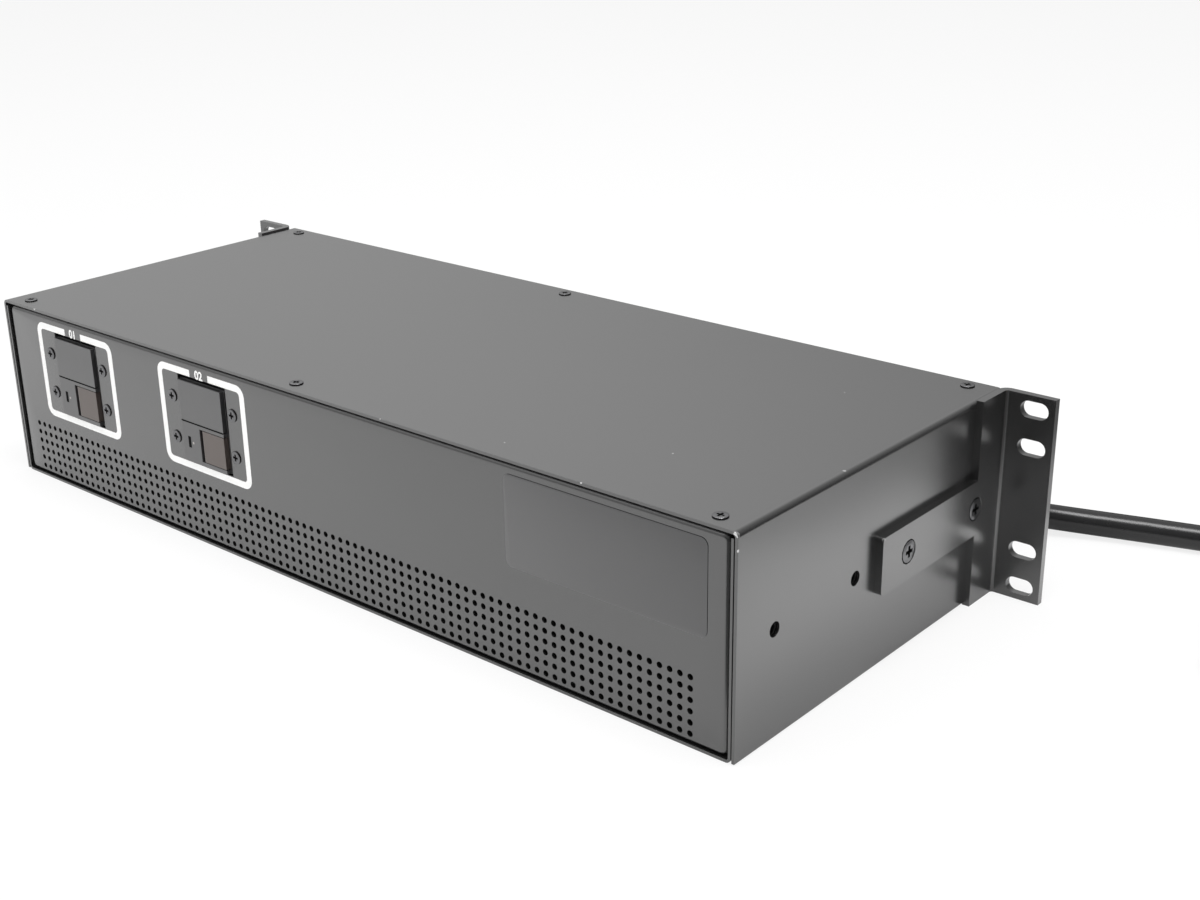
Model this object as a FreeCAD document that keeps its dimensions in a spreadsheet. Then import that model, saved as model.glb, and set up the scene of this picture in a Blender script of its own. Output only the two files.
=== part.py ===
import FreeCAD, Part
import math
import os
import re

import Sketcher
from FreeCAD import Placement, Rotation, Vector

# Rack power distribution unit, 2U high for a 19 inch rack, with its supply cord.
# Millimetres. +X runs along the breaker panel to its right, the breaker panel faces -Y,
# the outlet panel faces +Y, and z is zero on the surface that the unit stands on.
doc = FreeCAD.newDocument("RackPowerUnit")
size = doc.addObject("Spreadsheet::Sheet", "size")

driving = {
    # Folded case: cover outside, tray inside it, and a shallow pan at each end
    "bodyWidth": 434, "bodyDepth": 178, "bodyHeight": 87.2, "sheetThick": 1.2, "bendOutside": 2.2,
    "coverLift": 0.5, "trayGap": 0.4, "trayWallTop": 84.5, "panelRecess": 0.6, "panFlange": 14, "panEdge": 2,
    "panCorner": 3,
    # Threaded holes in the side walls, at plus and minus these depths from the middle
    "sideHoleNear": 16, "sideHoleFar": 66.8, "sideHoleUp": 43.3, "sideHoleRadius": 2.9,
    "nutRadius": 3,
    # Rack ears
    "earSpan": 482.6, "earHeight": 88.1, "earThick": 3.2, "earBendInside": 1.4, "earLeg": 21.5,
    "armLength": 70.2, "armHigh": 23.6, "armCorner": 2, "slotSpan": 465.1, "slotLong": 12,
    "slotHigh": 7, "slotOuter": 38.1, "slotInner": 22.225,
    "earScrewHead": 5, "earScrewShank": 2.5, "earScrewLong": 10, "earScrewTaper": 2.2,
    "screwPlay": 0.3,
    # Vent field under the breakers
    "ventMiddle": -2, "ventSpan": 399.2, "ventColumns": 20, "ventRows": 6, "ventLow": 5.2,
    "ventHigh": 27.5, "ventSide": 2.4,
    # Two-pole breakers, each pole lying on its side
    "breakerX": -161.3, "breakerPitch": 94.5, "breakerUp": 57.2, "poleHigh": 18.9,
    "poleWide": 29.4, "poleProud": 0.5, "poleRear": 44, "poleRearWide": 50.4,
    "poleGap": 0.4, "cutoutWide": 32.6, "cutoutHigh": 40.2, "cutoutRise": 0.8,
    "markLeft": 10, "markWide": 0.8, "markHigh": 5.2, "markDeep": 0.6,
    # Rocker of the lower pole, round about its own pin
    "rockerRound": 2.5, "rockerReach": 14, "rockerBack": 1, "rockerHigh": 14.5,
    "rockerShift": 0.5, "rockerUp": 9.5, "rockerGap": 0.3, "pocketBack": 4, "noseFlat": 0.01,
    "pinRadius": 1, "seatRadius": 1.15, "pinLong": 1, "pinShort": 0.35,
    # Outlets in two banks of two rows
    "bankLeft": -208, "bankPitch": 180, "rowLow": 23.5, "rowHigh": 63.5, "outletPitch": 34.8,
    "flangeThick": 1.1, "outletDeep": 22, "grooveDeep": 15.5, "contactDeep": 13,
    "smallWide": 34, "smallHigh": 27, "smallIslandWide": 24, "smallIslandHigh": 16,
    "largeWide": 40, "largeHigh": 33, "largeIslandWide": 30, "largeIslandHigh": 20,
    "grooveWide": 2, "bodyInset": 1.5, "islandCut": 4.5,
    "smallPinApart": 7, "smallPinLow": -2, "smallPinTop": 2.5, "smallPinWide": 2.4, "smallPinHigh": 5.4,
    "largePinApart": 8, "largePinLow": -4, "largePinTop": 4, "largePinWide": 8, "largePinHigh": 2.6,
    "boardThick": 1.6, "boardHigh": 68, "boardWide": 178,
    # Terminal block and earth stud on the tray, and the wire bundles between them
    "blockX": 160, "blockY": 25, "blockWide": 44, "blockDeep": 30, "blockHigh": 24,
    "stepHigh": 10, "stepDeep": 9, "studX": 110, "studY": 25, "studRadius": 2.5, "studHigh": 16,
    "studFoot": 6, "studPlate": 2, "bundleRadius": 4, "inputRun": 13, "feedApart": 16, "feedUp": 6,
    "feedRun": 12, "feedStep": 10, "feedTurn": 40, "feedRise": 20, "lugShift": 14, "lugRun": 22,
    "bankShift": 70, "bankTurn": 20, "bankUp": 44,
    # Supply cord, its bushing, its coil and the locking plug
    "cordRadius": 5.65, "cordLift": 0.15, "cordX": 185, "cordUp": 16.5, "bushingOut": 8,
    "bushingIn": 13, "bushingFlange": 13, "bushingLip": 3, "bushingWaist": 11, "bushingNose": 9.8,
    "bushingTaper": 2.5,
    "coilX": 385.4, "coilY": 122.2, "coilMiddle": 66.5, "coilLayers": 2, "coilColumns": 3,
    "plugX": 464.4, "plugRear": 50, "plugRadius": 25, "plugNeck": 12,
    "plugCollar": 12, "plugTaper": 4, "plugGrip": 21, "plugLong": 46, "plugRim": 16,
    "bladeCircle": 13.5, "bladeThick": 1.7, "bladeLong": 19, "bladeArc": 56,
}
for row, (alias, number) in enumerate(driving.items(), start=1):
    size.set("A%d" % row, alias)
    size.set("B%d" % row, str(number))
    size.setAlias("B%d" % row, alias)
doc.recompute()

parts = []


def bound(text):
    """An expression in the sheet's aliases, as other objects have to write it."""
    return re.sub(r"[A-Za-z]\w*", r"size.\g<0>", text)


def value(text):
    return float(size.evalExpression(bound(text)))


def point(x, y, z):
    return Vector(value(x), value(y), value(z))


def place(item, x="0", y="0", z="0"):
    for axis, text in zip("xyz", (x, y, z)):
        item.setExpression("Placement.Base." + axis, bound(text))


def finish(item, label):
    """Names a finished sub-part, which is then written to a file of that name."""
    item.Label = label
    parts.append(item)
    return item


def new_body(label):
    return finish(doc.addObject("PartDesign::Body", "body_" + label), label)


def new_sketch(body, role, offset="0"):
    sketch = body.newObject("Sketcher::SketchObject", body.Name + "_sketch")
    origin = next(f for f in body.Origin.OriginFeatures if f.Role == role)
    sketch.AttachmentSupport = [(origin, "")]
    sketch.MapMode = "FlatFace"
    sketch.setExpression("AttachmentOffset.Base.z", bound(offset))
    return sketch


def hold(sketch, kind, elements, text):
    """A sketch dimension bound to the sheet."""
    index = sketch.addConstraint(Sketcher.Constraint(kind, *elements, value(text)))
    sketch.setExpression("Constraints[%d]" % index, bound(text))


def pin_point(sketch, geometry, end, x, y):
    hold(sketch, "DistanceX", (-1, 1, geometry, end), x)
    hold(sketch, "DistanceY", (-1, 1, geometry, end), y)


def polygon(sketch, corners):
    """A closed outline, each corner held at its own two expressions."""
    spots = [Vector(value(x), value(y), 0) for x, y in corners]
    first = sketch.GeometryCount
    for here, after in zip(spots, spots[1:] + spots[:1]):
        sketch.addGeometry(Part.LineSegment(here, after))
    for i, (x, y) in enumerate(corners):
        before = first + (i - 1) % len(corners)
        sketch.addConstraint(Sketcher.Constraint("Coincident", before, 2, first + i, 1))
        pin_point(sketch, first + i, 1, x, y)


def rectangle(sketch, x, y, wide, high):
    """A rectangle about its middle."""
    sides = ("-", "-"), ("+", "-"), ("+", "+"), ("-", "+")
    polygon(sketch, [("%s %s (%s) / 2" % (x, i, wide), "%s %s (%s) / 2" % (y, j, high)) for i, j in sides])


def circle(sketch, x, y, radius):
    spot = Vector(value(x), value(y), 0)
    index = sketch.addGeometry(Part.Circle(spot, Vector(0, 0, 1), value(radius)))
    hold(sketch, "Radius", (index,), radius)
    pin_point(sketch, index, 3, x, y)


def regular(sketch, x, y, radius, sides):
    """A regular polygon with a flat side at the bottom, its corners on the radius."""
    angles = [2 * math.pi * (i + 0.5) / sides - math.pi / 2 for i in range(sides)]
    polygon(sketch, [
        ("%s + (%s) * %.6f" % (x, radius, math.cos(a)), "%s + (%s) * %.6f" % (y, radius, math.sin(a)))
        for a in angles])


def slot(sketch, x, y, long, high):
    """A level slot with round ends."""
    spot = Vector(value(x), value(y), 0)
    radius = value(high) / 2
    reach = Vector(value(long) / 2 - radius, 0, 0)
    up = Vector(0, radius, 0)
    half = math.pi / 2
    normal = Vector(0, 0, 1)
    right = sketch.addGeometry(Part.ArcOfCircle(Part.Circle(spot + reach, normal, radius), -half, half))
    top = sketch.addGeometry(Part.LineSegment(spot + reach + up, spot - reach + up))
    left = sketch.addGeometry(Part.ArcOfCircle(Part.Circle(spot - reach, normal, radius), half, 3 * half))
    low = sketch.addGeometry(Part.LineSegment(spot - reach - up, spot + reach - up))
    for here, after in ((right, top), (top, left), (left, low), (low, right)):
        sketch.addConstraint(Sketcher.Constraint("Tangent", here, 2, after, 1))
    sketch.addConstraint(Sketcher.Constraint("Horizontal", top))
    sketch.addConstraint(Sketcher.Constraint("Equal", right, left))
    hold(sketch, "Radius", (right,), "(%s) / 2" % high)
    hold(sketch, "DistanceX", (left, 3, right, 3), "%s - %s" % (long, high))
    pin_point(sketch, left, 3, "%s - (%s - %s) / 2" % (x, long, high), y)


def pad(sketch, length, back=False, both=False):
    body = sketch.getParentGeoFeatureGroup()
    feature = body.newObject("PartDesign::Pad", body.Name + "_pad")
    feature.Profile = sketch
    feature.setExpression("Length", bound(length))
    feature.Reversed = back
    feature.SideType = "Symmetric" if both else "One side"
    doc.recompute()
    return feature


def pocket(sketch, length, back=False, both=False):
    """Cuts against the sketch's normal, or along it with back."""
    body = sketch.getParentGeoFeatureGroup()
    before = body.Shape.Volume
    feature = body.newObject("PartDesign::Pocket", body.Name + "_pocket")
    feature.Profile = sketch
    feature.Reversed = back
    feature.SideType = "Symmetric" if both else "One side"
    feature.setExpression("Length", bound(length))
    doc.recompute()
    if body.Shape.Volume > before - 1e-3:
        raise RuntimeError("a pocket cut nothing in " + body.Label)
    return feature


def edges(feature, **where):
    """Names of the straight edges that lie wholly at the given coordinates."""
    wanted = {axis: [value(text) for text in texts] for axis, texts in where.items()}
    found = []
    for i, edge in enumerate(feature.Shape.Edges, start=1):
        ends = [v.Point for v in edge.Vertexes]
        if len(ends) == 2 and all(
            any(all(abs(getattr(p, axis) - n) < 1e-4 for p in ends) for n in numbers)
            for axis, numbers in wanted.items()
        ):
            found.append("Edge%d" % i)
    return found


def ease(kind, feature, names, amount):
    """A fillet or a chamfer on named edges."""
    body = feature.getParentGeoFeatureGroup()
    eased = body.newObject("PartDesign::" + kind, body.Name + "_" + kind.lower())
    eased.Base = (feature, names)
    eased.setExpression("Radius" if kind == "Fillet" else "Size", bound(amount))
    doc.recompute()
    return eased


earHoles = ["sideHoleNear", "sideHoleFar"]
openHoles = ["-" + depth for depth in earHoles]


def folded_channel(body, half, low, high, closed):
    """A channel folded along Y, closed at the height given, with its bends and side holes."""
    sign = "-" if closed == high else "+"
    sketch = new_sketch(body, "XZ_Plane")
    inner = "%s - sheetThick" % half
    floor = "%s %s sheetThick" % (closed, sign)
    free = low if closed == high else high
    polygon(sketch, [
        ("-(%s)" % half, closed), (half, closed), (half, free), (inner, free),
        (inner, floor), ("-(%s)" % inner, floor), ("-(%s)" % inner, free), ("-(%s)" % half, free)])
    feature = pad(sketch, "bodyDepth", both=True)
    outside = edges(feature, x=[half, "-(%s)" % half], z=[closed])
    feature = ease("Fillet", feature, outside, "bendOutside")
    inside = edges(feature, x=[inner, "-(%s)" % inner], z=[floor])
    return ease("Fillet", feature, inside, "bendOutside - sheetThick")


def side_holes(body, depths, shape, *sizes):
    """The same holes through both side walls."""
    sketch = new_sketch(body, "YZ_Plane")
    for depth in depths:
        shape(sketch, depth, "sideHoleUp", *sizes)
    pocket(sketch, "bodyWidth * 2", both=True)


# Cover: top and both sides folded from one sheet, its open holes round
cover = new_body("cover")
folded_channel(cover, "bodyWidth / 2", "coverLift", "bodyHeight", "bodyHeight")
side_holes(cover, openHoles, circle, "sideHoleRadius")
side_holes(cover, earHoles, regular, "nutRadius", 6)

# Base tray: floor and both inner walls, with hexagonal nut holes behind the cover's
tray = new_body("base_tray")
folded_channel(tray, "bodyWidth / 2 - sheetThick - trayGap", "0", "trayWallTop", "0")
side_holes(tray, openHoles + earHoles, regular, "nutRadius", 6)


panHalf = "bodyWidth / 2 - sheetThick * 2 - trayGap"
panLow = "sheetThick"
panHigh = "bodyHeight - sheetThick"
panMiddle = "(%s + %s) / 2" % (panLow, panHigh)
panFace = "bodyDepth / 2 - panelRecess"


def end_pan(label, front):
    """A shallow pan with its flat face outwards and its four flanges inside the case."""
    body = new_body(label)
    face = panFace if front else "-(%s)" % panFace
    wide = "(%s) * 2" % panHalf
    high = "%s - %s" % (panHigh, panLow)
    sketch = new_sketch(body, "XZ_Plane", face)
    rectangle(sketch, "0", panMiddle, wide, high)
    feature = pad(sketch, "panFlange", back=front)
    across = edges(feature, x=[panHalf, "-(%s)" % panHalf], z=[panLow, panHigh])
    feature = ease("Fillet", feature, across, "panCorner")
    depth = "-(%s)" % panFace if front else panFace
    rim = [
        "Edge%d" % i for i, edge in enumerate(feature.Shape.Edges, start=1)
        if all(abs(v.Y - value(depth)) < 1e-4 for v in edge.Vertexes)]
    ease("Fillet", feature, rim, "panEdge")
    hollow = new_sketch(body, "XZ_Plane", face + (" - panFlange" if front else " + panFlange"))
    rectangle(hollow, "0", panMiddle, wide + " - sheetThick * 2", high + " - sheetThick * 2")
    pocket(hollow, "panFlange - sheetThick", back=front)
    return body


# Breaker panel: two breaker openings over a field of vent holes
front = end_pan("front_panel", True)
openings = new_sketch(front, "XZ_Plane", panFace)
breakerAt = ["breakerX + breakerPitch * %d" % i for i in range(2)]
for x in breakerAt:
    rectangle(openings, x, "breakerUp + cutoutRise", "cutoutWide", "cutoutHigh")
pocket(openings, "sheetThick * 3", both=True)

column = new_sketch(front, "XZ_Plane", panFace)
for i in range(int(value("ventRows"))):
    up = "ventLow + (ventHigh - ventLow) * %d / (ventRows - 1)" % i
    rectangle(column, "ventMiddle - ventSpan / 2", up, "ventSide", "ventSide")
firstVents = pocket(column, "sheetThick * 3", both=True)
vents = front.newObject("PartDesign::LinearPattern", "vents")
vents.Originals = [firstVents]
vents.Direction = (column, ["H_Axis"])
vents.setExpression("Length", bound("ventSpan"))
vents.setExpression("Occurrences", bound("ventColumns"))
front.Tip = vents
doc.recompute()


# Outlets: each a flanged moulding with a groove round a raised island of three contacts
def house(sketch, wide, high, cut):
    """A rectangle about the origin with its two upper corners cut off."""
    right = "(%s) / 2" % wide
    top = "(%s) / 2" % high
    polygon(sketch, [
        ("-" + right, "-" + top), (right, "-" + top), (right, "%s - %s" % (top, cut)),
        ("%s - %s" % (right, cut), top), ("-%s + %s" % (right, cut), top),
        ("-" + right, "%s - %s" % (top, cut))])


def outlet(label, kind, x, z):
    body = new_body(label)
    place(body, x, panFace, z)
    rim = new_sketch(body, "XZ_Plane")
    rectangle(rim, "0", "0", kind + "Wide", kind + "High")
    pad(rim, "flangeThick", back=True)
    block = new_sketch(body, "XZ_Plane")
    rectangle(block, "0", "0", kind + "Wide - bodyInset * 2", kind + "High - bodyInset * 2")
    pad(block, "outletDeep")
    groove = new_sketch(body, "XZ_Plane", "-flangeThick")
    island = kind + "IslandWide", kind + "IslandHigh"
    house(groove, *island, "islandCut")
    house(groove, *[side + " + grooveWide * 2" for side in island], "islandCut")
    pocket(groove, "grooveDeep", back=True)
    contacts = new_sketch(body, "XZ_Plane", "-flangeThick")
    pin = kind + "Pin"
    for across, up in (("-%sApart" % pin, "Low"), ("0", "Top"), (pin + "Apart", "Low")):
        rectangle(contacts, across, pin + up, pin + "Wide", pin + "High")
    pocket(contacts, "contactDeep", back=True)


outletSpots = []
for bank in range(2):
    for row, z in enumerate(("rowLow", "rowHigh")):
        left = "bankLeft + bankPitch * %d" % bank
        for i in range(4):
            name = "outlet_small_%d" % (bank * 8 + row * 4 + i + 1)
            outletSpots.append((name, "small", left + " + smallWide / 2 + outletPitch * %d" % i, z))
        name = "outlet_large_%d" % (bank * 2 + row + 1)
        outletSpots.append((name, "large", left + " + outletPitch * 4 + largeWide / 2", z))
for spot in outletSpots:
    outlet(*spot)

# Outlet panel: one opening for each outlet and an eight-sided one for the cord bushing
back = end_pan("outlet_panel", False)
cuts = new_sketch(back, "XZ_Plane", "-(%s)" % panFace)
for name, kind, x, z in outletSpots:
    rectangle(cuts, x, z, kind + "Wide - bodyInset * 2", kind + "High - bodyInset * 2")
regular(cuts, "cordX", "cordUp", "bushingWaist", 8)
pocket(cuts, "sheetThick * 3", both=True)


# Rack ears: an angle folded from plate, with an arm along the side of the case
screwSides = 12


def rack_ear(label, sign):
    body = new_body(label)
    side = "%sbodyWidth / 2" % sign
    leg = "%s(bodyWidth / 2 + earThick)" % sign
    tip = "%searSpan / 2" % sign
    rear = "bodyDepth / 2"
    plan = new_sketch(body, "XY_Plane")
    polygon(plan, [
        (side, rear), (tip, rear), (tip, rear + " - earThick"), (leg, rear + " - earThick"),
        (leg, rear + " - earLeg"), (side, rear + " - earLeg")])
    feature = pad(plan, "earHeight")
    inside = edges(feature, x=[leg], y=[rear + " - earThick"])
    feature = ease("Fillet", feature, inside, "earBendInside")
    outside = edges(feature, x=[side], y=[rear])
    ease("Fillet", feature, outside, "earBendInside + earThick")
    arm = new_sketch(body, "YZ_Plane", side)
    middle = rear + " - earLeg - armLength / 2 + armCorner / 2"
    rectangle(arm, middle, "sideHoleUp", "armLength + armCorner", "armHigh")
    feature = pad(arm, "earThick", back=sign == "-")
    end = rear + " - earLeg - armLength"
    corners = edges(feature, y=[end], z=["sideHoleUp - armHigh / 2", "sideHoleUp + armHigh / 2"])
    ease("Fillet", feature, corners, "armCorner")
    slots = new_sketch(body, "XZ_Plane", "-(%s)" % rear)
    for up in ("-slotOuter", "-slotInner", "+ slotInner", "+ slotOuter"):
        slot(slots, "%sslotSpan / 2" % sign, "earHeight / 2 " + up, "slotLong", "slotHigh")
    pocket(slots, "earThick * 3", both=True)
    holes = new_sketch(body, "YZ_Plane", leg)
    for depth in earHoles:
        regular(holes, depth, "sideHoleUp", "earScrewShank + screwPlay", screwSides)
    feature = pocket(holes, "earThick * 3", both=True)
    rims = []
    for depth in earHoles:
        middle = point(leg, depth, "sideHoleUp")
        rims += [
            "Edge%d" % i for i, edge in enumerate(feature.Shape.Edges, start=1)
            if all(
                abs(v.X - middle.x) < 1e-4 and v.Point.distanceToPoint(middle) < value("earScrewHead")
                for v in edge.Vertexes)]
    ease("Chamfer", feature, rims, "earScrewTaper")


rack_ear("rack_ear_left", "-")
rack_ear("rack_ear_right", "+")


def countersunk_screw(name):
    """A flat-headed screw, its head's face at the origin and its shank along its own +Z."""
    rings = (
        ("earScrewHead - screwPlay", "0"), ("earScrewShank", "earScrewTaper"),
        ("earScrewShank", "earScrewLong"))
    sections = []
    for radius, along in rings:
        ring = doc.addObject("Part::RegularPolygon", name + "_ring")
        ring.Polygon = screwSides
        ring.setExpression("Circumradius", bound(radius))
        place(ring, z=along)
        sections.append(ring)
    screw = doc.addObject("Part::Loft", name)
    screw.Sections = sections
    screw.Solid = True
    screw.Ruled = True
    return screw


screws = []
for sign in "-+":
    for i, depth in enumerate(earHoles):
        name = "ear_screw_%s_%d" % ("left" if sign == "-" else "right", i + 1)
        screw = countersunk_screw(name)
        screw.Placement.Rotation = Rotation(Vector(0, 1, 0), 90 if sign == "-" else -90)
        place(screw, "%s(bodyWidth / 2 + earThick)" % sign, depth, "sideHoleUp")
        screws.append(screw)
earScrews = doc.addObject("Part::Compound", "ear_screws")
earScrews.Links = screws
finish(earScrews, "ear_screws")


# Breakers: two like poles one above the other, the lower one with the rocker
poleFront = "bodyDepth / 2 + poleProud"
panInside = "bodyDepth / 2 - panelRecess - sheetThick"


def pole(label, x, up):
    body = new_body(label)
    place(body, x, "0", up)
    neck = new_sketch(body, "XZ_Plane", poleFront)
    rectangle(neck, "0", "0", "poleWide", "poleHigh - poleGap")
    pad(neck, "%s - (%s)" % (poleFront, panInside), back=True)
    rear = new_sketch(body, "XZ_Plane", panInside)
    rectangle(rear, "0", "0", "poleRearWide", "poleHigh")
    pad(rear, "poleRear", back=True)
    return body


rockerY = "-(%s) + rockerRound" % poleFront
seatHigh = "rockerHigh + rockerGap * 2 + pinLong * 2"
for i, x in enumerate(breakerAt, start=1):
    pole("breaker_%d_blank_pole" % i, x, "breakerUp + poleHigh / 2")
    lower = pole("breaker_%d_switch_pole" % i, x, "breakerUp - poleHigh / 2")
    well = new_sketch(lower, "XZ_Plane", poleFront)
    wellWide = "rockerRound + rockerReach + rockerGap * 2"
    wellX = "rockerShift + (rockerReach - rockerRound) / 2"
    wellUp = "rockerUp - poleHigh / 2"
    rectangle(well, wellX, wellUp, wellWide, "rockerHigh + rockerGap * 2")
    pocket(well, "rockerRound + pocketBack")
    seat = new_sketch(lower, "XY_Plane", wellUp)
    regular(seat, "rockerShift", rockerY, "seatRadius", 8)
    pocket(seat, seatHigh, both=True)
    mark = new_sketch(lower, "XZ_Plane", poleFront)
    rectangle(mark, "-markLeft", wellUp, "markWide", "markHigh")
    pocket(mark, "markDeep")
    rocker = new_body("breaker_%d_rocker" % i)
    place(rocker, x + " + rockerShift", rockerY, "breakerUp - poleHigh + rockerUp")
    plan = new_sketch(rocker, "XY_Plane")
    polygon(plan, [
        ("rockerReach", "-rockerRound"), ("rockerReach", "rockerBack"),
        ("-rockerRound", "rockerBack"), ("-rockerRound", "-rockerRound")])
    feature = pad(plan, "rockerHigh", both=True)
    nose = edges(feature, x=["-rockerRound"], y=["-rockerRound"])
    ease("Fillet", feature, nose, "rockerRound - noseFlat")
    pin = new_sketch(rocker, "XY_Plane")
    circle(pin, "0", "0", "pinRadius")
    pad(pin, seatHigh + " - pinShort * 2", both=True)

# Board across the backs of each bank's outlets
boardFace = "%s - outletDeep" % panFace
for bank in range(2):
    board = finish(doc.addObject("Part::Box", "board_%d" % bank), "outlet_board_%d" % (bank + 1))
    for prop, text in (("Length", "boardWide"), ("Width", "boardThick"), ("Height", "boardHigh")):
        board.setExpression(prop, bound(text))
    place(
        board, "bankLeft + bankPitch * %d" % bank, boardFace + " - boardThick",
        "(rowLow + rowHigh - boardHigh) / 2")

# Terminal block with a step along its front, and the earth stud
block = new_body("terminal_block")
profile = new_sketch(block, "YZ_Plane", "blockX")
polygon(profile, [
    ("blockY - blockDeep / 2", "sheetThick"), ("blockY + blockDeep / 2", "sheetThick"),
    ("blockY + blockDeep / 2", "sheetThick + blockHigh"),
    ("blockY - blockDeep / 2 + stepDeep", "sheetThick + blockHigh"),
    ("blockY - blockDeep / 2 + stepDeep", "sheetThick + stepHigh"),
    ("blockY - blockDeep / 2", "sheetThick + stepHigh")])
pad(profile, "blockWide", both=True)

stud = new_body("earth_stud")
place(stud, "studX", "studY", "sheetThick")
foot = new_sketch(stud, "XY_Plane")
regular(foot, "0", "0", "studFoot", 6)
pad(foot, "studPlate")
stem = new_sketch(stud, "XY_Plane")
regular(stem, "0", "0", "studRadius", 6)
pad(stem, "studHigh")

# Bushing that grips the cord in the outlet panel, tapering outwards
bushing = new_body("strain_relief")
place(bushing, "cordX", panFace, "cordUp")
waist = new_sketch(bushing, "XZ_Plane")
regular(waist, "0", "0", "bushingWaist", 8)
pad(waist, "bushingIn")
lip = new_sketch(bushing, "XZ_Plane")
regular(lip, "0", "0", "bushingFlange", 8)
pad(lip, "bushingLip", back=True)
nose = new_sketch(bushing, "XZ_Plane", "-bushingLip")
regular(nose, "0", "0", "bushingNose", 8)
feature = pad(nose, "bushingOut - bushingLip", back=True)
ease("Chamfer", feature, edges(feature, y=["bushingOut"]), "bushingTaper")


# Cords: straight runs joined by arcs that take this share of the shorter run. Wire bundles turn sharply.
cornerShare = 0.45


def rounded_path(spots):
    """The path's wire and its corner radii."""
    pieces = []
    radii = []
    start = spots[0]
    for before, here, after in zip(spots, spots[1:], spots[2:]):
        a = (before - here).normalize()
        b = (after - here).normalize()
        half = (math.pi - a.getAngle(b)) / 2
        tangent = cornerShare * min(before.distanceToPoint(here), here.distanceToPoint(after))
        radius = tangent / math.tan(half)
        bisector = (a + b).normalize()
        crown = here + bisector * (radius / math.cos(half) - radius)
        pieces.append(Part.LineSegment(start, here + a * tangent))
        pieces.append(Part.Arc(here + a * tangent, crown, here + b * tangent))
        start = here + b * tangent
        radii.append(radius)
    pieces.append(Part.LineSegment(start, spots[-1]))
    return Part.Wire([piece.toShape() for piece in pieces]), radii


def section(start, along, radius, sides):
    """A regular polygon across the path's start, with a circle's area."""
    turn = Rotation(Vector(0, 0, 1), along)
    corner = radius * math.sqrt(2 * math.pi / sides / math.sin(2 * math.pi / sides))
    angles = [2 * math.pi * (i + 0.5) / sides for i in range(sides + 1)]
    return Part.makePolygon([
        start + turn.multVec(Vector(math.cos(a), math.sin(a), 0) * corner) for a in angles])


def swept(label, path, profile, corners):
    """A solid along a path, with its volume set against its section times its length."""
    solid = path.makePipeShell([profile], True, False, corners)
    ratio = solid.Volume / (Part.Face(profile).Area * path.Length)
    print(label, "length", round(path.Length), "volume ratio", round(ratio, 4))
    item = finish(doc.addObject("Part::Feature", "cable_" + label), label)
    item.Shape = solid
    item.Placement = Placement()


def cord(label, spots):
    path, radii = rounded_path(spots)
    print(label, "radii", [round(r) for r in radii])
    profile = section(spots[0], (spots[1] - spots[0]).normalize(), value("cordRadius"), 8)
    swept(label, path, profile, 0)


def bundle(label, spots):
    """A tied bundle of wires inside the case, square at its corners."""
    profile = section(spots[0], (spots[1] - spots[0]).normalize(), value("bundleRadius"), 6)
    swept(label, Part.makePolygon(spots), profile, 1)


def chosen(*rows):
    return [point(*row) for row in rows]


exitY = "%s + bushingOut" % panFace
lie = "cordRadius + cordLift"
topLayer = "cordRadius * 3"
cord("cord", chosen(
    ("cordX", exitY, "cordUp"), ("cordX", exitY + " + 22.3", "cordUp"),
    ("cordX + 9.6", exitY + " + 44.3", "11.5"), ("cordX + 27.1", exitY + " + 60.7", "6.6"),
    ("cordX + 87.5", exitY + " + 82", lie), ("cordX + 140.9", exitY + " + 95.3", lie),
    ("coilX - 8.1", "coilY + coilMiddle + cordRadius * 2 - 0.3", lie)))
coilEdge = "coilX + coilMiddle + cordRadius * 2"
cord("cord_end", chosen(
    (coilEdge, "coilY", topLayer), (coilEdge + " + 0.3", "coilY - 24", topLayer + " + 0.6"),
    ("plugX", "plugRear + 23", "plugRadius"), ("plugX", "plugRear", "plugRadius")))
blockFront = "blockY - blockDeep / 2"
bushingEnd = "%s - bushingIn" % panFace
blockRear = "blockY + blockDeep / 2"
bundle("input_wires", chosen(
    ("cordX", bushingEnd, "cordUp"), ("cordX", bushingEnd + " - inputRun", "cordUp"),
    ("blockX", blockRear + " + inputRun", "cordUp"), ("blockX", blockRear, "cordUp")))
poleBack = "poleRear - (%s)" % panInside
switchUp = "breakerUp - poleHigh / 2"
for i, x in enumerate(breakerAt):
    entry = "blockX + feedApart * (%d - 0.5)" % i
    across = "%s - feedRun - feedStep * %d" % (blockFront, i)
    lug = x + " + lugShift"
    bundle("feed_wires_%d" % (i + 1), chosen(
        (entry, blockFront, "feedUp"), (entry, across, "feedUp"), (x + " + feedTurn", across, "feedRise"),
        (lug, poleBack + " + lugRun", switchUp), (lug, poleBack, switchUp)))
    lug = x + " - lugShift"
    bankX = "bankLeft + bankShift + bankPitch * %d" % i
    bundle("bank_%d_wires" % (i + 1), chosen(
        (lug, poleBack, switchUp), (lug, poleBack + " + lugRun", switchUp), (bankX, "bankTurn", "bankUp"),
        (bankX, boardFace + " - boardThick", "bankUp")))

# Coil of the cord that is put away, two layers of three turns
coil = new_body("cord_coil")
place(coil, "coilX", "coilY")
ring = new_sketch(coil, "XY_Plane")
for radius in ("coilMiddle - coilColumns * cordRadius", "coilMiddle + coilColumns * cordRadius"):
    regular(ring, "0", "0", radius, 24)
pad(ring, "coilLayers * cordRadius * 2")

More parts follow.
